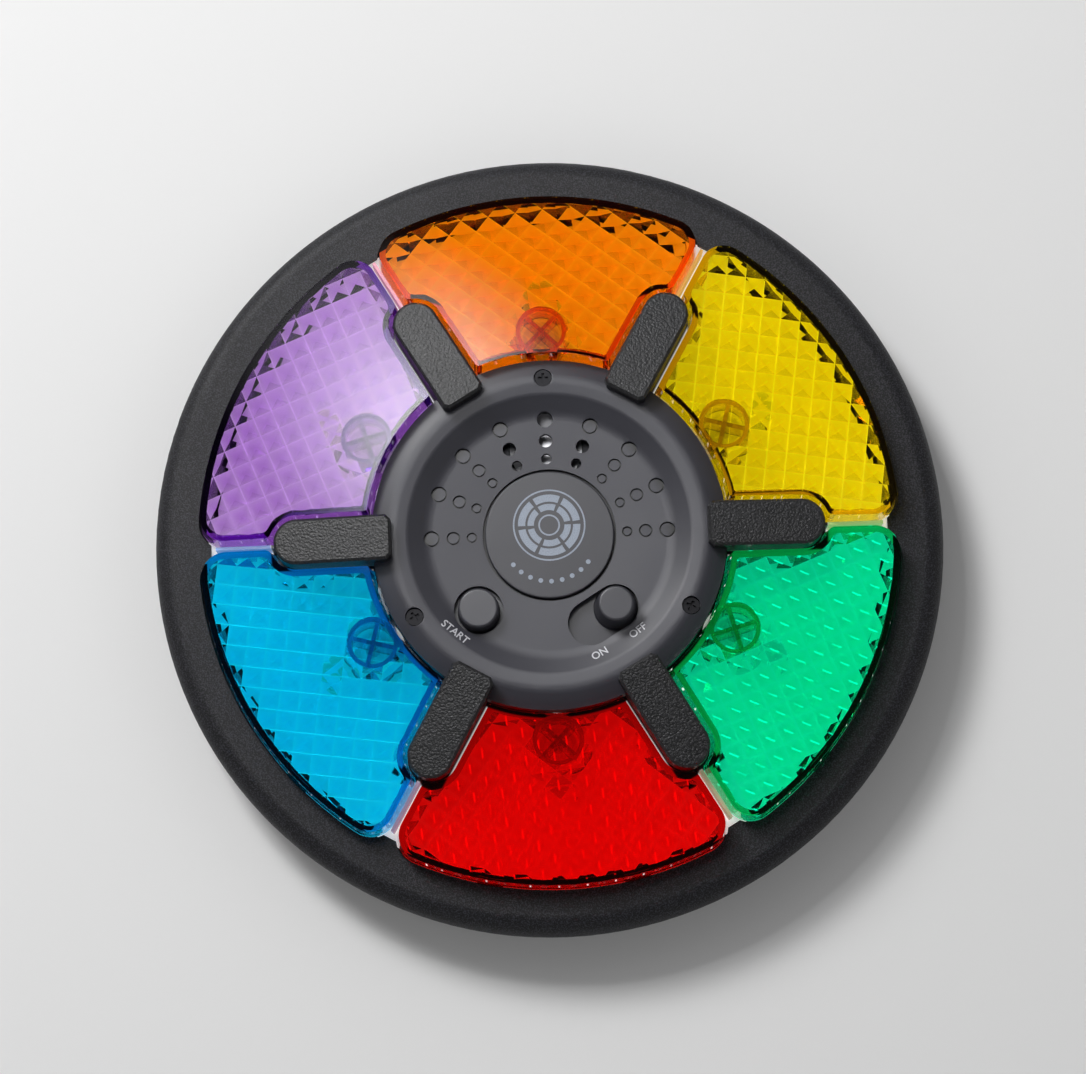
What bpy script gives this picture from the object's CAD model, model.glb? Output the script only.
"""Looks of a round electronic memory game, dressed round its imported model."""

import logging
import math
from collections.abc import Sequence
from dataclasses import dataclass, field
from enum import Enum

import bpy
from mathutils import Matrix, Vector


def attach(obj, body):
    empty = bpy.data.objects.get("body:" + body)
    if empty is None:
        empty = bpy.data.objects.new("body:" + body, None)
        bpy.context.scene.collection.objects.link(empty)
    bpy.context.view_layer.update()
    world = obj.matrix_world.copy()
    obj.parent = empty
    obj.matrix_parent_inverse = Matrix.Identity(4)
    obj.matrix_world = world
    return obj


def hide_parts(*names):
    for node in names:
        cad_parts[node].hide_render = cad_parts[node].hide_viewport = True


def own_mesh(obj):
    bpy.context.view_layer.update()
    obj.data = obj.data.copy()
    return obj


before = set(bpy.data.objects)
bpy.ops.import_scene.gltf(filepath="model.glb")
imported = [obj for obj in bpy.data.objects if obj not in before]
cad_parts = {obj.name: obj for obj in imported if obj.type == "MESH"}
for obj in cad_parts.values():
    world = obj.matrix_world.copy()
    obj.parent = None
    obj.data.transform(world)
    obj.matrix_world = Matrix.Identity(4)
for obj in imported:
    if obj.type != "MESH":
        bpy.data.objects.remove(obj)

log = logging.getLogger("memory_game")

MM = 0.001
WELD = 0.001 * MM
PAD_NAMES = ("orange", "yellow", "green", "red", "blue", "purple")
PITCH_DEG = 360 / len(PAD_NAMES)
FIRST_PAD_DEG = 90
PAD_TOP_Z = 35.0 * MM
PAD_INNER_RADIUS = 55.75 * MM
PAD_SLOPE = math.tan(math.radians(5.3))
Colour = tuple[float, float, float]


def linear(red: int, green: int, blue: int) -> Colour:
    """Linear light of a colour given as screen values from 0 to 255."""
    parts = (part / 255 for part in (red, green, blue))
    return tuple(p / 12.92 if p <= 0.04045 else ((p + 0.055) / 1.055) ** 2.4 for p in parts)


def scaled(colour: Colour, share: float) -> Colour:
    """Colour with a share of its light."""
    return tuple(share * part for part in colour)


def pad_top(radius: "Value | float") -> "Value | float":
    """Height of the pads' sloping tops at a distance from the play face's middle."""
    return PAD_TOP_Z - (radius - PAD_INNER_RADIUS) * PAD_SLOPE


class Value:
    """A shader socket that can stand in a Python sum."""

    def __init__(self, shader: "Shader", socket: bpy.types.NodeSocket) -> None:
        """Wrap an output socket of a shader."""
        self.shader = shader
        self.socket = socket

    def maths(self, operation: str, *others: "Value | float", first: bool = True) -> "Value":
        """Add one Math node.

        Args:
            operation: the Math node's operation.
            others: its other values.
            first: whether this value is the operation's first one.

        Returns:
            The node's result.
        """
        values = (self, *others) if first else (*others, self)
        return self.shader.node("ShaderNodeMath", {"operation": operation}, dict(enumerate(values)))

    def __add__(self, other: "Value | float") -> "Value":
        """Sum."""
        return self.maths("ADD", other)

    def __sub__(self, other: "Value | float") -> "Value":
        """Difference."""
        return self.maths("SUBTRACT", other)

    def __rsub__(self, other: float) -> "Value":
        """Difference from a number."""
        return self.maths("SUBTRACT", other, first=False)

    def __mul__(self, other: "Value | float") -> "Value":
        """Product."""
        return self.maths("MULTIPLY", other)

    __radd__ = __add__
    __rmul__ = __mul__

    def ramp(self, low: float, high: float) -> "Value":
        """Smooth step from 0 at low to 1 at high."""
        values = {"Value": self, "From Min": low, "From Max": high}
        return self.shader.node("ShaderNodeMapRange", {"interpolation_type": "SMOOTHSTEP"}, values)

    def fall(self, low: float, high: float) -> "Value":
        """Smooth step from 1 at low to 0 at high."""
        return 1 - self.ramp(low, high)


class Shader:
    """One material under construction."""

    def __init__(self, name: str) -> None:
        """Start a material with nothing but an output.

        Args:
            name: the material's name.
        """
        self.material = bpy.data.materials.new(name)
        self.material.use_nodes = True
        self.tree = self.material.node_tree
        self.tree.nodes.clear()
        self.output = self.tree.nodes.new("ShaderNodeOutputMaterial")
        self.place = self.node("ShaderNodeTexCoord", output="Object")

    def node(
        self,
        kind: str,
        settings: dict | None = None,
        values: dict | None = None,
        output: int | str = 0,
    ) -> Value:
        """Add a node.

        Args:
            kind: the node's type.
            settings: its properties, set first.
            values: numbers, colours or links for its input sockets.
            output: the output socket to return.

        Returns:
            The chosen output.
        """
        made = self.tree.nodes.new(kind)
        for key, setting in (settings or {}).items():
            setattr(made, key, setting)
        for key, value in (values or {}).items():
            if isinstance(value, Value):
                self.tree.links.new(value.socket, made.inputs[key])
            else:
                made.inputs[key].default_value = value
        return Value(self, made.outputs[output])

    def noise(self, size: float, detail: float = 2.0) -> Value:
        """Noise whose blotches are about a size across, in metres."""
        values = {"Vector": self.place, "Scale": 1 / size, "Detail": detail}
        return self.node("ShaderNodeTexNoise", values=values)

    def cells(self, size: float, place: Value | None = None) -> Value:
        """Distance field of cells about a size across, in metres."""
        values = {"Vector": place or self.place, "Scale": 1 / size}
        return self.node("ShaderNodeTexVoronoi", values=values, output="Distance")

    def stir(self, size: float, amount: float) -> Value:
        """Object coordinates pushed about by noise.

        Args:
            size: how far apart the noise's blotches are, in metres.
            amount: how far the coordinates are pushed, in metres.

        Returns:
            The coordinates.
        """
        values = {"Vector": self.place, "Scale": 1 / size}
        wobble = self.node("ShaderNodeTexNoise", values=values, output="Color")
        centred = self.vector("SUBTRACT", wobble, (0.5, 0.5, 0.5))
        return self.vector("ADD", self.place, self.vector("SCALE", centred, amount))

    def vector(
        self, operation: str, a: Value, b: "Value | Sequence[float] | float", output: str = "Vector"
    ) -> Value:
        """One Vector Math node; a scale's factor is a number."""
        values = {0: a, "Scale": b} if operation == "SCALE" else {0: a, 1: b}
        return self.node("ShaderNodeVectorMath", {"operation": operation}, values, output)

    def tint(self, amount: Value, low: "Value | Colour", high: "Value | Colour") -> Value:
        """Colour between two.

        Args:
            amount: how far it goes from the first to the second, from 0 to 1.
            low: the first colour.
            high: the second colour.

        Returns:
            The colour.
        """
        low, high = (part if isinstance(part, Value) else (*part, 1) for part in (low, high))
        values = {0: amount, 6: low, 7: high}
        return self.node("ShaderNodeMix", {"data_type": "RGBA"}, values, 2)

    def axis(self, name: str) -> Value:
        """Object coordinate along X, Y or Z."""
        return self.node("ShaderNodeSeparateXYZ", values={0: self.place}, output=name)

    def angle(self) -> Value:
        """Angle about the play face's middle, in radians from -pi to pi."""
        return self.axis("Y").maths("ARCTAN2", self.axis("X"))

    def by_bars(self) -> tuple[Value, Value, Value]:
        """Place as seen from the play face's middle and the nearest bar.

        Returns:
            The distance from the middle, the place along that bar and the distance beside it.
        """
        flat = self.vector("MULTIPLY", self.place, (1, 1, 0))
        radius = self.node("ShaderNodeVectorMath", {"operation": "LENGTH"}, {0: flat}, "Value")
        half_pitch = math.radians(PITCH_DEG / 2)
        turn = self.angle().maths("WRAP", half_pitch, -half_pitch)
        return radius, radius * turn.maths("COSINE"), (radius * turn.maths("SINE")).maths("ABSOLUTE")

    def bump(self, height: Value, depth: float) -> Value:
        """Normal of a relief of a depth in metres."""
        values = {"Height": height, "Strength": 1.0, "Distance": depth}
        return self.node("ShaderNodeBump", values=values)

    def finish(self, **values: "Value | float | Sequence[float]") -> bpy.types.Material:
        """Close the material with a Principled surface.

        Args:
            values: the surface's sockets, with underscores for the spaces in their names.

        Returns:
            The material.
        """
        named = {}
        for key, value in values.items():
            is_colour = isinstance(value, tuple) and len(value) == 3
            named[key.replace("_", " ")] = (*value, 1) if is_colour else value
        surface = self.node("ShaderNodeBsdfPrincipled", values=named)
        self.tree.links.new(surface.socket, self.output.inputs["Surface"])
        return self.material


class Grain(Enum):
    """Texture that a mould leaves on plastic."""

    SATIN = "satin"
    PEBBLE = "pebble"
    LEATHER = "leather"


@dataclass(frozen=True)
class MouldedPlastic:
    """Opaque moulded plastic with a grain, whose high points may catch the light as specks."""

    name: str
    colour: Colour
    roughness: float
    grain_size: float
    grain: Grain = Grain.SATIN
    grain_depth: float = 0.01 * MM
    specks: Colour | None = None
    gloss: float = 0.5
    glow: float = 0.0
    sunk: Colour | None = None
    speck_levels: tuple[float, float] = (0.46, 0.62)
    leather_stir: float = 0.3
    leather_fineness: float = 1.5
    leather_shares: tuple[float, float] = (0.45, 0.55)
    pebble_shares: tuple[float, float] = (0.7, 0.3)
    smudge_size: float = 18 * MM
    smudge_shades: tuple[float, float] = (0.82, 1.15)
    smudge_roughness: float = 0.12

    def make(self) -> bpy.types.Material:
        """Build the material.

        Returns:
            The material.
        """
        shader = Shader(self.name)
        height = self.relief(shader)
        smudge = shader.noise(self.smudge_size, detail=3.0)
        dark, light = (scaled(self.colour, share) for share in self.smudge_shades)
        base = shader.tint(smudge, dark, light)
        if self.specks is not None:
            base = shader.tint(height.ramp(*self.speck_levels), base, self.specks)
        if self.sunk is not None:
            below = shader.node("ShaderNodeAttribute", {"attribute_name": "sunk"}, output="Fac")
            base = shader.tint(below, base, self.sunk)
        return shader.finish(
            Base_Color=base,
            Roughness=self.roughness - self.smudge_roughness / 2 + smudge * self.smudge_roughness,
            Specular_IOR_Level=self.gloss,
            Normal=shader.bump(height, self.grain_depth),
            Emission_Color=self.colour,
            Emission_Strength=self.glow,
        )

    def relief(self, shader: Shader) -> Value:
        """Relief of the grain.

        Args:
            shader: the material under construction.

        Returns:
            The height, from about 0 to 1.
        """
        size = self.grain_size
        if self.grain is Grain.LEATHER:
            crease = shader.cells(size, shader.stir(size, self.leather_stir * size))
            creases, swells = self.leather_shares
            return (1 - crease) * creases + shader.noise(size / self.leather_fineness, 3.0) * swells
        if self.grain is Grain.PEBBLE:
            lumps, pits = self.pebble_shares
            return shader.noise(size, detail=3.0) * lumps + shader.cells(size) * pits
        return shader.noise(size, detail=1.0)


@dataclass(frozen=True)
class TrayPlastic:
    """White plastic that is lit within under the pads, and shaded beside the bars and the hub."""

    name: str
    colour: Colour
    shade: Colour
    strips: tuple[Colour, ...]
    glow: float
    floor_top: float = 18.0 * MM
    strip_rises: tuple[float, float] = (0.3 * MM, 1.5 * MM)
    bar_reach: float = 87.3 * MM
    bar_side: float = 6.7 * MM
    hub_side: float = 56.4 * MM
    fade: float = 0.7 * MM
    roughness: float = 0.3
    mottle_size: float = 2 * MM
    mottle_roughness: float = 0.1

    def make(self) -> bpy.types.Material:
        """Build the material.

        Returns:
            The material.
        """
        shader = Shader(self.name)
        radius, _, aside = shader.by_bars()
        by_bar = aside.fall(self.bar_side, self.bar_side + self.fade)
        by_bar = by_bar * radius.fall(self.bar_reach, self.bar_reach + self.fade)
        by_hub = radius.fall(self.hub_side, self.hub_side + self.fade)
        shaded = by_bar.maths("MAXIMUM", by_hub)
        strip = shader.axis("Z").ramp(*(self.floor_top + rise for rise in self.strip_rises)) * (1 - shaded)
        bleed = self.bleed(shader)
        return shader.finish(
            Base_Color=shader.tint(strip, shader.tint(shaded, self.colour, self.shade), bleed),
            Roughness=self.roughness + shader.noise(self.mottle_size) * self.mottle_roughness,
            Emission_Color=shader.tint(strip, shader.tint(shaded, self.colour, (0, 0, 0)), bleed),
            Emission_Strength=self.glow,
        )

    def bleed(self, shader: Shader) -> Value:
        """Tint that the pads on its two sides give each partition.

        Args:
            shader: the material under construction.

        Returns:
            The tint of the nearest partition.
        """
        count = len(self.strips)
        share = (shader.angle() * (1 / math.tau) + 0.5 / count).maths("WRAP", 1, 0)
        tint = self.strips[0]
        for index, colour in enumerate(self.strips[1:], 1):
            tint = shader.tint(share.maths("GREATER_THAN", index / count), tint, colour)
        return tint


@dataclass(frozen=True)
class PadMould:
    """Where a pad's walls and prisms lie, and how strongly the prisms' edges catch the light."""

    turn_deg: float
    glints: tuple[float, float, float]
    wall_tint: Colour
    bar_end: float = 78.9 * MM
    bar_apart: float = 9.6 * MM
    hub_apart: float = 57.7 * MM
    partition_apart: float = 2.9 * MM
    wall_fade: float = 0.3 * MM
    pitch: float = 6.2 * MM
    middle: float = 83.43 * MM
    field_turn_deg: float = 51.0
    line_half: float = 0.2 * MM
    line_core_share: float = 0.3
    dash_half: float = 1.8 * MM
    dash_end_share: float = 1.4
    dash_side_shares: tuple[float, float] = (0.8, 2.6)
    patch_size: float = 5 * MM
    patch_levels: tuple[float, float] = (0.25, 0.6)
    patch_least: float = 0.4
    cap_depths: tuple[float, float] = (1.2 * MM, 1.8 * MM)
    prism_depths: tuple[float, float] = (4.6 * MM, 5.0 * MM)

    def catch_light(self, shader: Shader) -> Value:
        """Light caught along two ways of grooves and, as dashes, across the prisms' tips.

        Args:
            shader: the material under construction.

        Returns:
            The light, from 0 to about 1.
        """
        first, second = (self.across(shader, extra_deg) for extra_deg in (0, 90))
        lines = self.line(self.pitch / 2 - first.maths("ABSOLUTE")) * self.glints[0]
        others = self.line(self.pitch / 2 - second.maths("ABSOLUTE")) * self.glints[1]
        along = (first - second).maths("ABSOLUTE")
        beside = (first + second).maths("ABSOLUTE")
        dash = beside.fall(*(share * self.line_half for share in self.dash_side_shares)) * self.glints[2]
        dash = dash * along.fall(self.dash_half, self.dash_end_share * self.dash_half)
        patch = shader.noise(self.patch_size).ramp(*self.patch_levels)
        patchy = patch * (1 - self.patch_least) + self.patch_least
        return (lines + others + dash) * patchy * self.under_cap(shader)

    def across(self, shader: Shader, extra_deg: float) -> Value:
        """Place across one way of grooves.

        Args:
            shader: the material under construction.
            extra_deg: how far this way is turned from the first one.

        Returns:
            The distance from the nearest row of tips, to either side.
        """
        angle = math.radians(self.field_turn_deg + extra_deg)
        turn = math.radians(self.turn_deg) + angle
        place = shader.vector("DOT_PRODUCT", shader.place, (math.cos(turn), math.sin(turn), 0), "Value")
        from_tip = place - (self.middle * math.cos(angle) - self.pitch / 2)
        return from_tip.maths("WRAP", self.pitch / 2, -self.pitch / 2)

    def line(self, apart: Value) -> Value:
        """Thin line where a distance is nothing."""
        return apart.fall(self.line_core_share * self.line_half, self.line_half)

    def on_walls(self, shader: Shader) -> Value:
        """Find the pad's walls beside the bar, the hub and the partitions.

        Args:
            shader: the material under construction.

        Returns:
            One on those walls and nothing elsewhere.
        """
        radius, along, aside = shader.by_bars()
        past = (along - self.bar_end).maths("MAXIMUM", 0)
        apart = (past * past + aside * aside).maths("SQRT")
        walls = apart.fall(self.bar_apart, self.bar_apart + self.wall_fade)
        walls = walls.maths("MAXIMUM", radius.fall(self.hub_apart, self.hub_apart + self.wall_fade))
        sides = aside.fall(self.partition_apart, self.partition_apart + self.wall_fade)
        return walls.maths("MAXIMUM", sides)

    def under_cap(self, shader: Shader) -> Value:
        """Find the prisms by their depth under the pad's top.

        Args:
            shader: the material under construction.

        Returns:
            One on the prisms, and nothing on the pad's top and far down its walls.
        """
        radius, _, _ = shader.by_bars()
        depth = pad_top(radius) - shader.axis("Z")
        return depth.ramp(*self.cap_depths) * depth.fall(*self.prism_depths)


@dataclass(frozen=True)
class ClearPlastic:
    """Plastic that lets light through, bends it and dyes it by the depth that it passes."""

    name: str
    surface: Colour
    passed: Colour
    mould: PadMould | None = None
    path: float = 5.0 * MM
    roughness: float = 0.03
    index: float = 1.42
    flow_size: float = 14 * MM
    flow_shade: float = 0.93

    def make(self) -> bpy.types.Material:
        """Build the material; passed is the share of light left after the path.

        Returns:
            The material.
        """
        shader = Shader(self.name)
        flow = shader.noise(self.flow_size)
        lost = [-math.log(part) / self.path for part in self.passed]
        density = max(lost)
        kept = tuple(1 - part / density for part in lost)
        body = shader.node("ShaderNodeVolumeAbsorption", values={"Color": (*kept, 1), "Density": density})
        shader.tree.links.new(body.socket, shader.output.inputs["Volume"])
        base = shader.tint(flow, scaled(self.surface, self.flow_shade), self.surface)
        glints = {}
        if self.mould is not None:
            base = shader.tint(self.mould.on_walls(shader), base, self.mould.wall_tint)
            glints["Emission_Color"] = shader.tint(self.mould.catch_light(shader), (0, 0, 0), (1, 1, 1))
            glints["Emission_Strength"] = 1.0
        return shader.finish(
            Base_Color=base,
            Roughness=self.roughness,
            IOR=self.index,
            Transmission_Weight=1.0,
            **glints,
        )


@dataclass(frozen=True)
class Metal:
    """Bare or plated metal, drawn or blasted."""

    name: str
    colour: Colour
    roughness: float
    speck_size: float = 0.6 * MM
    speck_shade: float = 0.8
    speck_roughness: float = 0.15
    speck_depth: float = 0.01 * MM

    def make(self) -> bpy.types.Material:
        """Build the material.

        Returns:
            The material.
        """
        shader = Shader(self.name)
        speck = shader.noise(self.speck_size)
        return shader.finish(
            Base_Color=shader.tint(speck, scaled(self.colour, self.speck_shade), self.colour),
            Metallic=1.0,
            Roughness=self.roughness + speck * self.speck_roughness,
            Normal=shader.bump(speck, self.speck_depth),
        )


@dataclass(frozen=True)
class Ink:
    """Pad print on plastic, thin enough to be broken by the grain."""

    name: str
    colour: Colour
    roughness: float = 0.55
    wear_size: float = 0.35 * MM
    wear_levels: tuple[float, float] = (0.25, 0.6)
    wear_shade: float = 0.72
    wear_depth: float = 0.01 * MM

    def make(self) -> bpy.types.Material:
        """Build the material.

        Returns:
            The material.
        """
        shader = Shader(self.name)
        wear = shader.noise(self.wear_size)
        worn = scaled(self.colour, self.wear_shade)
        return shader.finish(
            Base_Color=shader.tint(wear.ramp(*self.wear_levels), worn, self.colour),
            Roughness=self.roughness,
            Normal=shader.bump(wear, self.wear_depth),
        )


Finish = MouldedPlastic | TrayPlastic | ClearPlastic | Metal | Ink


@dataclass(frozen=True)
class Dye:
    """Colours of a pad's surface, of its walls and of the light that it passes, and its glints."""

    surface: Colour
    walls: Colour
    passed: Colour
    glints: tuple[float, float, float]


class Bench:
    """Hand tools. Each works on one object with all others deselected."""

    FLAT_DEG = 0.4
    SHARP_DEG = 28
    ROUNDING_STEPS = 2

    @staticmethod
    def take(piece: bpy.types.Object) -> None:
        """Select one object and nothing else.

        Args:
            piece: the object.
        """
        bpy.ops.object.select_all(action="DESELECT")
        piece.select_set(True)
        bpy.context.view_layer.objects.active = piece

    @staticmethod
    def copy_of(node: str, name: str) -> bpy.types.Object:
        """Copy a CAD node's solid, join its loose triangles and clear the flat faces.

        Args:
            node: the CAD node.
            name: the new piece's name.

        Returns:
            The piece, at the origin.
        """
        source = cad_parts[node]
        mesh = source.data.copy()
        mesh.name = name
        mesh.materials.clear()
        mesh.normals_split_custom_set_from_vertices([(0, 0, 0)] * len(mesh.vertices))
        piece = bpy.data.objects.new(name, mesh)
        bpy.context.scene.collection.objects.link(piece)
        Bench.take(piece)
        bpy.ops.mesh.customdata_custom_splitnormals_clear()
        bpy.ops.object.mode_set(mode="EDIT")
        bpy.ops.mesh.select_all(action="SELECT")
        bpy.ops.mesh.remove_doubles(threshold=WELD)
        bpy.ops.mesh.dissolve_limited(angle_limit=math.radians(Bench.FLAT_DEG))
        bpy.ops.object.mode_set(mode="OBJECT")
        return piece

    @staticmethod
    def round_edges(piece: bpy.types.Object, width: float) -> None:
        """Round every sharp edge, and shade the rest smooth.

        Args:
            piece: the object.
            width: the rounding's width, in metres.
        """
        Bench.take(piece)
        bevel = piece.modifiers.new("rounding", "BEVEL")
        bevel.width = width
        bevel.segments = Bench.ROUNDING_STEPS
        bevel.limit_method = "ANGLE"
        bevel.angle_limit = math.radians(Bench.SHARP_DEG)
        bevel.use_clamp_overlap = True
        bpy.ops.object.modifier_apply(modifier=bevel.name)
        bpy.ops.object.shade_smooth_by_angle(angle=math.radians(Bench.SHARP_DEG))
        flow = piece.modifiers.new("flow", "WEIGHTED_NORMAL")
        flow.keep_sharp = True
        bpy.ops.object.modifier_apply(modifier=flow.name)

    @staticmethod
    def dress(piece: bpy.types.Object, material: bpy.types.Material) -> None:
        """Give a piece one material."""
        piece.data.materials.clear()
        piece.data.materials.append(material)

    @staticmethod
    def settle(piece: bpy.types.Object) -> bpy.types.Object:
        """Put a piece's place and turn into its mesh.

        Args:
            piece: the object.

        Returns:
            The same object, at the origin.
        """
        Bench.take(piece)
        bpy.ops.object.transform_apply(location=True, rotation=True, scale=True)
        return piece

    @staticmethod
    def join(pieces: list[bpy.types.Object], name: str) -> bpy.types.Object:
        """Make one piece of several, with its place in its mesh.

        Args:
            pieces: the objects, which become the first one.
            name: its new name.

        Returns:
            The piece.
        """
        Bench.take(pieces[0])
        for piece in pieces[1:]:
            piece.select_set(True)
        bpy.ops.object.join()
        pieces[0].name = name
        return Bench.settle(pieces[0])

    @staticmethod
    def lay_on(piece: bpy.types.Object, under: bpy.types.Object, proud: float) -> None:
        """Drop a flat piece on another from above, so that it follows its surface.

        Args:
            piece: the flat object.
            under: the object that it is laid on.
            proud: how far it stands off that surface, in metres.
        """
        Bench.take(piece)
        drop = piece.modifiers.new("drop", "SHRINKWRAP")
        drop.target = under
        drop.wrap_method = "PROJECT"
        drop.use_project_z = True
        drop.use_negative_direction = True
        drop.use_positive_direction = False
        drop.offset = proud
        bpy.ops.object.modifier_apply(modifier=drop.name)


@dataclass
class Wardrobe:
    """Every finish of the game, made once."""

    made: dict[str, bpy.types.Material] = field(default_factory=dict)

    def of(self, finish: Finish) -> bpy.types.Material:
        """Material of a finish.

        Args:
            finish: the finish.

        Returns:
            Its material, made when it is first asked for.
        """
        if finish.name not in self.made:
            self.made[finish.name] = finish.make()
        return self.made[finish.name]


HOUSING_BLACK = MouldedPlastic(
    "housing_black",
    linear(14, 14, 16),
    0.52,
    0.42 * MM,
    Grain.PEBBLE,
    0.1 * MM,
    specks=linear(48, 48, 54),
    gloss=0.22,
)
BAR_BLACK = MouldedPlastic(
    "bar_black",
    linear(16, 16, 18),
    0.42,
    0.8 * MM,
    Grain.LEATHER,
    0.25 * MM,
    specks=linear(38, 38, 41),
    gloss=0.38,
)
HUB_BLACK = MouldedPlastic("hub_black", linear(45, 45, 54), 0.48, 0.35 * MM, sunk=linear(9, 9, 11))
DISC_BLACK = MouldedPlastic("disc_black", linear(45, 45, 52), 0.46, 0.35 * MM)
CONTROL_BLACK = MouldedPlastic("control_black", linear(50, 50, 57), 0.4, 0.3 * MM)
RUBBER_WHITE = MouldedPlastic("rubber_white", linear(225, 225, 222), 0.6, 0.5 * MM, glow=0.35)
BOARD_WHITE = MouldedPlastic("board_white", linear(228, 228, 222), 0.4, 1.5 * MM, glow=0.35)
CHIP_BLACK = MouldedPlastic("chip_black", linear(25, 25, 25), 0.6, 0.3 * MM)
LEAD_RED = MouldedPlastic("lead_red", linear(150, 22, 20), 0.4, 0.8 * MM)
JACKET_NAVY = MouldedPlastic("jacket_navy", linear(40, 48, 62), 0.3, 4.0 * MM)
LAMP_CLEAR = ClearPlastic("lamp_clear", (1, 1, 1), (0.9, 0.9, 0.88), roughness=0.08)
SCREW_STEEL = Metal("screw_steel", linear(36, 36, 38), 0.4)
BRIGHT_STEEL = Metal("bright_steel", linear(200, 200, 200), 0.3)
LEAF_BRASS = Metal("leaf_brass", linear(215, 175, 95), 0.3)
CAN_ALUMINIUM = Metal("can_aluminium", linear(205, 205, 210), 0.35)
PALE_INK = Ink("pale_ink", linear(150, 160, 176))
WHITE_INK = Ink("white_ink", linear(200, 200, 206))
DYES: dict[str, Dye] = {
    "orange": Dye((1.0, 0.43, 0.1), (1.0, 0.3, 0.04), (0.94, 0.55, 0.0001), (0.06, 0.2, 0.0)),
    "yellow": Dye((1.0, 0.88, 0.12), (1.0, 0.78, 0.05), (0.86, 0.72, 0.0001), (0.08, 0.4, 0.15)),
    "green": Dye((0.06, 1.0, 0.62), (0.04, 0.85, 0.5), (0.0001, 0.76, 0.5), (0.06, 0.06, 0.9)),
    "red": Dye((1.0, 0.06, 0.05), (0.9, 0.04, 0.03), (0.8, 0.0001, 0.0001), (0.06, 0.06, 0.8)),
    "blue": Dye((0.06, 0.8, 1.0), (0.03, 0.62, 0.95), (0.0001, 0.6, 0.82), (0.4, 0.08, 0.1)),
    "purple": Dye((0.74, 0.6, 0.84), (0.42, 0.15, 0.62), (0.5, 0.22, 0.72), (0.3, 0.1, 0.0)),
}
STRIP_SHARE = 0.6


def strip_tint(index: int) -> Colour:
    """Colour that a partition takes from the dyes of the pads on its two sides.

    Args:
        index: the partition's place, counted from +X towards +Y.

    Returns:
        The linear colour.
    """
    sides = [DYES[PAD_NAMES[(step - index) % len(PAD_NAMES)]].walls for step in (1, 2)]
    return tuple(STRIP_SHARE * sum(parts) / 2 for parts in zip(*sides))


TRAY_WHITE = TrayPlastic(
    "tray_white",
    linear(236, 236, 234),
    linear(58, 54, 56),
    tuple(strip_tint(index) for index in range(len(PAD_NAMES))),
    0.58,
)


@dataclass
class Pads:
    """Six see-through pads with prisms on their under-side."""

    rounding: float = 0.18 * MM
    rim: float = 0.85 * MM
    rim_deg: float = 50.0
    rim_steps: int = 4
    top_reach: float = 0.05 * MM

    def build(self, wardrobe: Wardrobe) -> list[bpy.types.Object]:
        """Round the mould's edges and dye each pad.

        Args:
            wardrobe: the finishes.

        Returns:
            The pads.
        """
        pieces = []
        for index, name in enumerate(PAD_NAMES):
            piece = Bench.copy_of(f"{name}_pad", f"{name}_pad_moulding")
            self.round_rim(piece)
            Bench.round_edges(piece, self.rounding)
            dye = DYES[name]
            mould = PadMould(FIRST_PAD_DEG - index * PITCH_DEG, dye.glints, dye.walls)
            Bench.dress(piece, wardrobe.of(ClearPlastic(f"{name}_clear", dye.surface, dye.passed, mould)))
            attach(piece, name)
            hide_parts(f"{name}_pad")
            pieces.append(piece)
        return pieces

    def round_rim(self, piece: bpy.types.Object) -> None:
        """Round the rim of a pad's top wider than its other edges.

        Args:
            piece: the pad.
        """
        Bench.take(piece)
        bpy.ops.object.mode_set(mode="EDIT")
        bpy.ops.mesh.select_mode(type="EDGE")
        bpy.ops.mesh.select_all(action="DESELECT")
        bpy.ops.mesh.edges_select_sharp(sharpness=math.radians(self.rim_deg))
        bpy.ops.object.mode_set(mode="OBJECT")
        places = [vertex.co for vertex in piece.data.vertices]
        tops = [pad_top(co.xy.length) - co.z < self.top_reach for co in places]
        for edge in piece.data.edges:
            edge.select = edge.select and all(tops[index] for index in edge.vertices)
        bpy.ops.object.mode_set(mode="EDIT")
        bpy.ops.mesh.bevel(offset=self.rim, segments=self.rim_steps, affect="EDGES", clamp_overlap=True)
        bpy.ops.object.mode_set(mode="OBJECT")


@dataclass
class Domes:
    """Rubber domes on the board, each squashed by the pad or the button over it."""

    pad_keep: float = 0.5
    start_keep: float = 0.64

    def build(self, wardrobe: Wardrobe) -> list[bpy.types.Object]:
        """Copy, dress and squash each dome.

        Args:
            wardrobe: the finishes.

        Returns:
            The domes.
        """
        jobs = [(f"contact_dome_{i}", name, self.pad_keep) for i, name in enumerate(PAD_NAMES, 1)]
        jobs.append(("start_dome", "start", self.start_keep))
        pieces = []
        for node, body, keep in jobs:
            piece = Bench.copy_of(node, f"{body}_dome_moulding")
            Bench.dress(piece, wardrobe.of(RUBBER_WHITE))
            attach(piece, "root")
            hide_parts(node)
            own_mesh(piece)
            pieces.append(piece)
        return pieces


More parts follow.
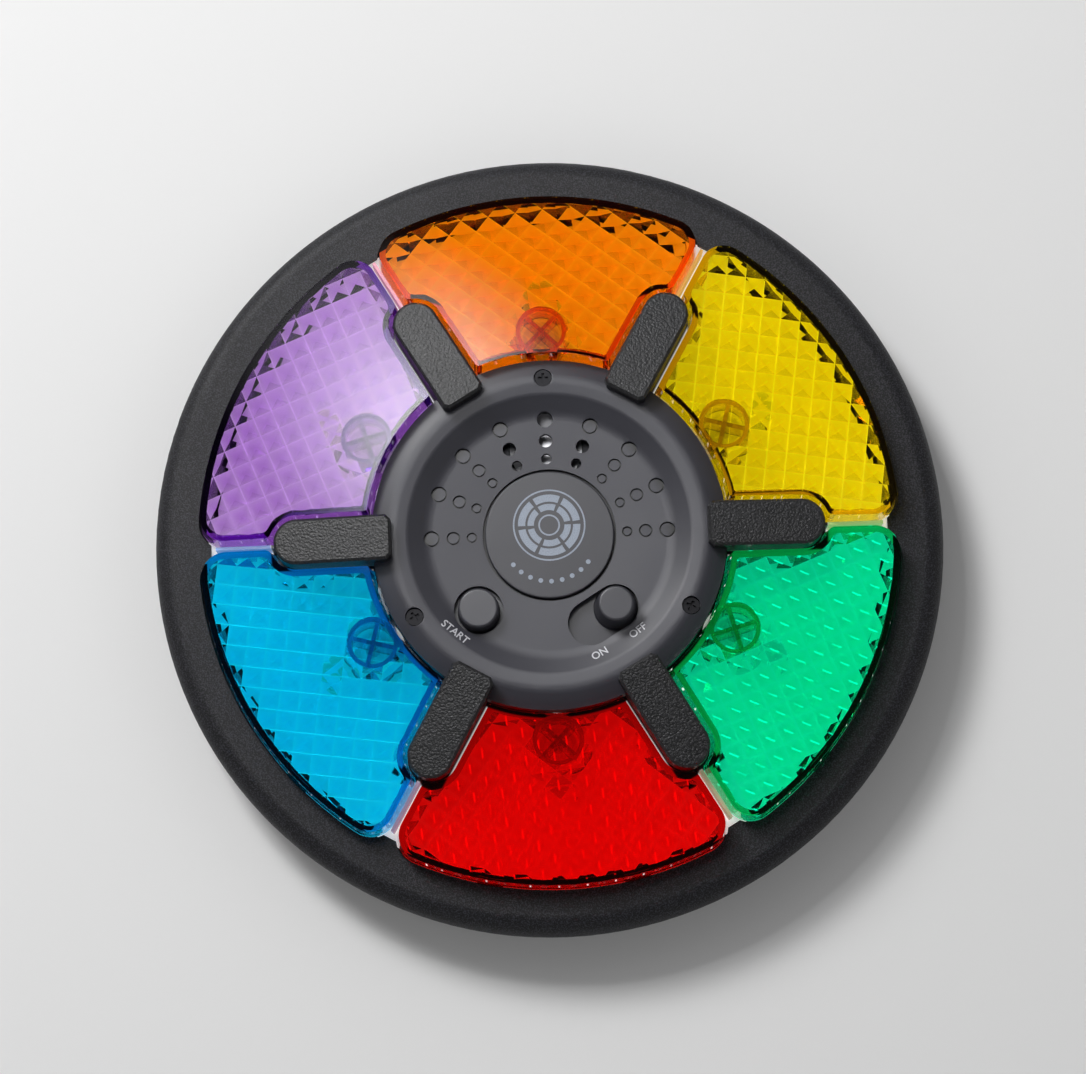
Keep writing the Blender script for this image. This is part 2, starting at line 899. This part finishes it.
@dataclass
class Housing:
    """Ring, shell, hub, disc and bars, which keep still."""

    ring_rounding: float = 0.35 * MM
    shell_rounding: float = 0.3 * MM
    hub_rounding: float = 0.12 * MM
    disc_rounding: float = 0.1 * MM
    bar_rounding: float = 0.35 * MM
    grille: tuple[float, float] = (17 * MM, 41 * MM)
    hole_reach: float = 1.3 * MM
    sunk_depth: float = 0.3 * MM
    ray_start: float = 1.0

    def build(self, wardrobe: Wardrobe) -> list[bpy.types.Object]:
        """Round and dress what the solids give.

        Args:
            wardrobe: the finishes.

        Returns:
            The mouldings.
        """
        jobs = [
            ("top_ring", "ring_moulding", HOUSING_BLACK, "black_housing", self.ring_rounding),
            ("bottom_shell", "shell_moulding", HOUSING_BLACK, "black_housing", self.shell_rounding),
            ("hub_cover", "hub_moulding", HUB_BLACK, "hub_plastic", self.hub_rounding),
            ("centre_disc", "disc_moulding", DISC_BLACK, "disc_plastic", self.disc_rounding),
        ]
        for number in range(1, len(PAD_NAMES) + 1):
            bar, moulding = f"divider_bar_{number}", f"bar_moulding_{number}"
            jobs.append((bar, moulding, BAR_BLACK, "bar_plastic", self.bar_rounding))
        pieces = []
        for node, name, finish, slot, rounding in jobs:
            piece = Bench.copy_of(node, name)
            Bench.round_edges(piece, rounding)
            if node == "hub_cover":
                self.mark_sunk(piece)
            Bench.dress(piece, wardrobe.of(finish))
            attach(piece, "root")
            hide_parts(node)
            pieces.append(piece)
        return pieces

    def mark_sunk(self, hub: bpy.types.Object) -> None:
        """Store on the dish's points whether they lie in a hole or a groove.

        Args:
            hub: the hub's moulding.
        """
        sunk = hub.data.attributes.new("sunk", "FLOAT", "POINT")
        steps = ((self.hole_reach, 0), (0, self.hole_reach))
        for vertex in hub.data.vertices:
            x, y, z = vertex.co
            if self.grille[0] < vertex.co.xy.length < self.grille[1]:
                level = max(self.top(hub, x + a, y + b) + self.top(hub, x - a, y - b) for a, b in steps) / 2
                sunk.data[vertex.index].value = float(level - z > self.sunk_depth)

    def top(self, piece: bpy.types.Object, x: float, y: float) -> float:
        """Height of a piece's topmost face at a place, or nothing where it is open."""
        hit, place, _, _ = piece.ray_cast(Vector((x, y, self.ray_start)), Vector((0, 0, -1)))
        return place.z if hit else 0.0


@dataclass
class Prints:
    """Pale prints: ringed wedges and a row of dots on the disc, and words by the controls."""

    proud: float = 0.03 * MM
    above: float = 40.0 * MM
    ring_centre: tuple[float, float] = (0.0, 3.0 * MM)
    facets_per_wedge: int = 24
    bands: tuple[tuple[float, float, int], ...] = (
        (11.4 * MM, 10.9 * MM, 0),
        (9.8 * MM, 7.5 * MM, 3),
        (6.8 * MM, 4.8 * MM, 4),
        (3.4 * MM, 2.9 * MM, 0),
    )
    dot_count: int = 9
    dot_facets: int = 24
    dot_radius: float = 0.75 * MM
    dot_ring: float = 14.9 * MM
    dot_middle_deg: float = -90.0
    dot_sweep_deg: float = 104.0
    letter_height: float = 2.5 * MM
    capital_share: float = 0.73
    boldness: float = 0.012
    letter_facets: int = 4
    letter_cuts: int = 2
    words: tuple[tuple[str, float, float, float], ...] = (
        ("START", 43.0 * MM, -135.5, -41.0),
        ("ON", 41.1 * MM, -70.0, 27.0),
        ("OFF", 41.3 * MM, -50.6, 35.0),
    )

    def build(
        self, wardrobe: Wardrobe, hub: bpy.types.Object, disc: bpy.types.Object
    ) -> list[bpy.types.Object]:
        """Print the disc and the hub.

        Args:
            wardrobe: the finishes.
            hub: the hub's moulding, which takes the words.
            disc: the disc's moulding, which takes the rings and the dots.

        Returns:
            The two prints.
        """
        bands = [self.band(*band) for band in self.bands]
        motif = Bench.join(bands + self.dots(), "disc_print")
        Bench.lay_on(motif, disc, self.proud)
        Bench.dress(motif, wardrobe.of(PALE_INK))
        words = Bench.join([self.word(*word) for word in self.words], "control_words")
        Bench.lay_on(words, hub, self.proud)
        Bench.dress(words, wardrobe.of(WHITE_INK))
        for piece in (motif, words):
            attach(piece, "root")
        return [motif, words]

    def band(self, outer: float, inner: float, gap_facets: int) -> bpy.types.Object:
        """Flat ring between two radii, parted into six wedges where it has gaps.

        Args:
            outer: its outer radius, in metres.
            inner: its inner radius, in metres.
            gap_facets: how many facets each gap takes.

        Returns:
            The ring, over its place.
        """
        bpy.ops.object.select_all(action="DESELECT")
        bpy.ops.mesh.primitive_circle_add(
            vertices=len(PAD_NAMES) * self.facets_per_wedge,
            radius=outer,
            fill_type="NGON",
            location=(*self.ring_centre, self.above),
        )
        ring = bpy.context.object
        bpy.ops.object.mode_set(mode="EDIT")
        bpy.ops.mesh.select_mode(type="FACE")
        bpy.ops.mesh.select_all(action="SELECT")
        bpy.ops.mesh.inset(thickness=outer - inner)
        bpy.ops.mesh.delete(type="FACE")
        bpy.ops.object.mode_set(mode="OBJECT")
        for face in ring.data.polygons:
            turn = math.degrees(math.atan2(face.center.y, face.center.x)) % PITCH_DEG
            face.select = turn * self.facets_per_wedge / PITCH_DEG < gap_facets
        bpy.ops.object.mode_set(mode="EDIT")
        bpy.ops.mesh.delete(type="FACE")
        bpy.ops.object.mode_set(mode="OBJECT")
        return ring

    def dots(self) -> list[bpy.types.Object]:
        """Row of round dots on an arc below the bands.

        Returns:
            The dots, over their places.
        """
        made = []
        for index in range(self.dot_count):
            share = index / (self.dot_count - 1) - 0.5
            angle = math.radians(self.dot_middle_deg + share * self.dot_sweep_deg)
            place = (self.dot_ring * math.cos(angle), self.dot_ring * math.sin(angle), self.above)
            bpy.ops.object.select_all(action="DESELECT")
            bpy.ops.mesh.primitive_circle_add(
                vertices=self.dot_facets, radius=self.dot_radius, fill_type="NGON", location=place
            )
            made.append(bpy.context.object)
        return made

    def word(self, text: str, radius: float, angle_deg: float, turn_deg: float) -> bpy.types.Object:
        """Flat bold word over a place of the hub, cut fine enough to bend.

        Args:
            text: the word.
            radius: its middle's distance from the hub's middle, in metres.
            angle_deg: its middle's angle about the hub's middle.
            turn_deg: how far it is turned.

        Returns:
            The word as a mesh.
        """
        angle = math.radians(angle_deg)
        bpy.ops.object.select_all(action="DESELECT")
        bpy.ops.object.text_add(
            location=(radius * math.cos(angle), radius * math.sin(angle), self.above),
            rotation=(0, 0, math.radians(turn_deg)),
        )
        piece = bpy.context.object
        piece.data.body = text
        piece.data.align_x = "CENTER"
        piece.data.align_y = "CENTER"
        piece.data.size = self.letter_height / self.capital_share
        piece.data.offset = self.boldness * piece.data.size
        piece.data.resolution_u = self.letter_facets
        bpy.ops.object.convert(target="MESH")
        bpy.ops.object.mode_set(mode="EDIT")
        bpy.ops.mesh.select_all(action="SELECT")
        bpy.ops.mesh.remove_doubles(threshold=WELD)
        bpy.ops.mesh.subdivide(number_cuts=self.letter_cuts)
        bpy.ops.object.mode_set(mode="OBJECT")
        return Bench.settle(piece)


@dataclass
class Works:
    """What stays a CAD solid and only takes a finish."""

    finishes: dict[str, Finish] = field(
        default_factory=lambda: {
            "light_tray": TRAY_WHITE,
            "battery_door": HOUSING_BLACK,
            "start_button": CONTROL_BLACK,
            "switch_knob": CONTROL_BLACK,
            "switch_wiper": LEAF_BRASS,
            "circuit_board": BOARD_WHITE,
            "sound_chip": CHIP_BLACK,
            "capacitor": CAN_ALUMINIUM,
            "speaker_basket": SCREW_STEEL,
            "speaker_magnet": BRIGHT_STEEL,
            "speaker_cone": CAN_ALUMINIUM,
            "battery_contacts": BRIGHT_STEEL,
            "battery_leads": LEAD_RED,
            "speaker_leads": LEAD_RED,
        }
    )

    def dress(self, wardrobe: Wardrobe) -> None:
        """Give each remaining node its finish.

        Args:
            wardrobe: the finishes.
        """
        for name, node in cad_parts.items():
            finish = self.finishes.get(name) or self.by_kind(name)
            if finish is not None:
                Bench.dress(node, wardrobe.of(finish))

    @staticmethod
    def by_kind(name: str) -> Finish | None:
        """Finish of a node that comes in numbers.

        Args:
            name: the node's name.

        Returns:
            Its finish, or None where a moulding replaces the node.
        """
        if name.startswith("lamp_"):
            return LAMP_CLEAR
        if name.startswith("battery_cell_"):
            return JACKET_NAVY
        return SCREW_STEEL if name.endswith(("_screws", "_screw")) else None


@dataclass(frozen=True)
class Lamp:
    """Square lamp that faces the game, and may be seen in its gloss alone."""

    name: str
    place: tuple[float, float, float]
    size: float
    power: float
    gloss_only: bool = False


@dataclass
class Studio:
    """Floor, light and camera."""

    camera_place: Vector = field(default_factory=lambda: Vector((-6.0, -181.8, 985.4)) * MM)
    right: Vector = field(default_factory=lambda: Vector((0.99914, -0.04138, -0.00373)))
    up: Vector = field(default_factory=lambda: Vector((0.0414, 0.9817, 0.1859)))
    back: Vector = field(default_factory=lambda: Vector((-0.0040, -0.1859, 0.9826)))
    lens: float = 102.9
    sensor: float = 36.0
    nearest: float = 0.01
    lamps: tuple[Lamp, ...] = (
        Lamp("sheen", (-0.087, 0.193, 0.58), 0.33, 2.5, gloss_only=True),
        Lamp("key", (-0.75, 1.0, 1.1), 0.8, 26),
        Lamp("spark", (-0.5, 0.9, 1.3), 0.1, 2.0),
    )
    lamp_fade: tuple[float, float] = (0.5, 0.05)
    lamp_peak: float = 3.0
    overhead: float = 0.03
    walls: float = 0.55
    room_fade: tuple[float, float] = (0.9, 0.6)
    floor_size: float = 3.0
    floor_light: float = 0.83
    floor_roughness: float = 0.8

    def build(self) -> None:
        """Set up the whole studio."""
        self.add_floor()
        self.add_lights()
        self.add_camera()

    def add_floor(self) -> None:
        """Plain pale floor."""
        bpy.ops.object.select_all(action="DESELECT")
        bpy.ops.mesh.primitive_plane_add(size=self.floor_size)
        floor = bpy.context.object
        floor.name = "floor"
        pale = (self.floor_light,) * 3
        Bench.dress(floor, Shader("floor_pale").finish(Base_Color=pale, Roughness=self.floor_roughness))

    def add_lights(self) -> None:
        """Soft key from the upper left, weak fill and a room that is darker overhead."""
        world = bpy.data.worlds.new("soft_room")
        world.use_nodes = True
        self.shade_room(world.node_tree)
        bpy.context.scene.world = world
        for lamp in self.lamps:
            light = bpy.data.lights.new(lamp.name, "AREA")
            light.size = lamp.size
            light.energy = lamp.power
            light.use_nodes = True
            self.soften(light.node_tree)
            holder = bpy.data.objects.new(lamp.name, light)
            bpy.context.scene.collection.objects.link(holder)
            holder.location = lamp.place
            holder.visible_camera = False
            holder.visible_diffuse = holder.visible_transmission = not lamp.gloss_only
            holder.rotation_euler = (-Vector(lamp.place)).to_track_quat("-Z", "Y").to_euler()

    def shade_room(self, tree: bpy.types.NodeTree) -> None:
        """Let the room grow brighter from overhead to the walls.

        Args:
            tree: the world's nodes.
        """
        split = tree.nodes.new("ShaderNodeSeparateXYZ")
        rise = tree.nodes.new("ShaderNodeMapRange")
        rise.interpolation_type = "SMOOTHSTEP"
        rise.inputs["From Min"].default_value, rise.inputs["From Max"].default_value = self.room_fade
        rise.inputs["To Min"].default_value = self.overhead
        rise.inputs["To Max"].default_value = self.walls
        tree.links.new(tree.nodes.new("ShaderNodeTexCoord").outputs["Generated"], split.inputs[0])
        tree.links.new(split.outputs["Z"], rise.inputs["Value"])
        tree.links.new(rise.outputs["Result"], tree.nodes["Background"].inputs["Strength"])
        tree.nodes["Background"].inputs["Color"].default_value = (1, 1, 1, 1)

    def soften(self, tree: bpy.types.NodeTree) -> None:
        """Let a lamp's light fade from its middle to its edge, as a cloth box does.

        Args:
            tree: the lamp's nodes.
        """
        place = tree.nodes.new("ShaderNodeTexCoord").outputs["UV"]
        apart = tree.nodes.new("ShaderNodeVectorMath")
        apart.operation = "DISTANCE"
        apart.inputs[1].default_value = (0.5, 0.5, 0)
        fade = tree.nodes.new("ShaderNodeMapRange")
        fade.interpolation_type = "SMOOTHSTEP"
        fade.inputs["From Min"].default_value, fade.inputs["From Max"].default_value = self.lamp_fade
        fade.inputs["To Max"].default_value = self.lamp_peak
        tree.links.new(place, apart.inputs[0])
        tree.links.new(apart.outputs["Value"], fade.inputs["Value"])
        tree.links.new(fade.outputs["Result"], tree.nodes["Emission"].inputs["Strength"])

    def add_camera(self) -> None:
        """Camera at the photograph's angle."""
        camera = bpy.data.cameras.new("camera")
        camera.lens = self.lens
        camera.sensor_width = self.sensor
        camera.clip_start = self.nearest
        holder = bpy.data.objects.new("camera", camera)
        bpy.context.scene.collection.objects.link(holder)
        turn = Matrix((self.right, self.up, self.back)).transposed().to_4x4()
        holder.matrix_world = Matrix.Translation(self.camera_place) @ turn
        bpy.context.scene.camera = holder


def main() -> None:
    """Build and dress the game, then set the studio round it."""
    logging.basicConfig(level=logging.INFO, format="%(message)s")
    bpy.context.scene.view_settings.view_transform = "Standard"
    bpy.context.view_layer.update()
    wardrobe = Wardrobe()
    pieces = Housing().build(wardrobe) + Pads().build(wardrobe) + Domes().build(wardrobe)
    by_name = {piece.name: piece for piece in pieces}
    pieces += Prints().build(wardrobe, by_name["hub_moulding"], by_name["disc_moulding"])
    for piece in pieces:
        log.info("%s: %d faces", piece.name, len(piece.data.polygons))
    Works().dress(wardrobe)
    Studio().build()


if __name__ == "__main__":
    main()
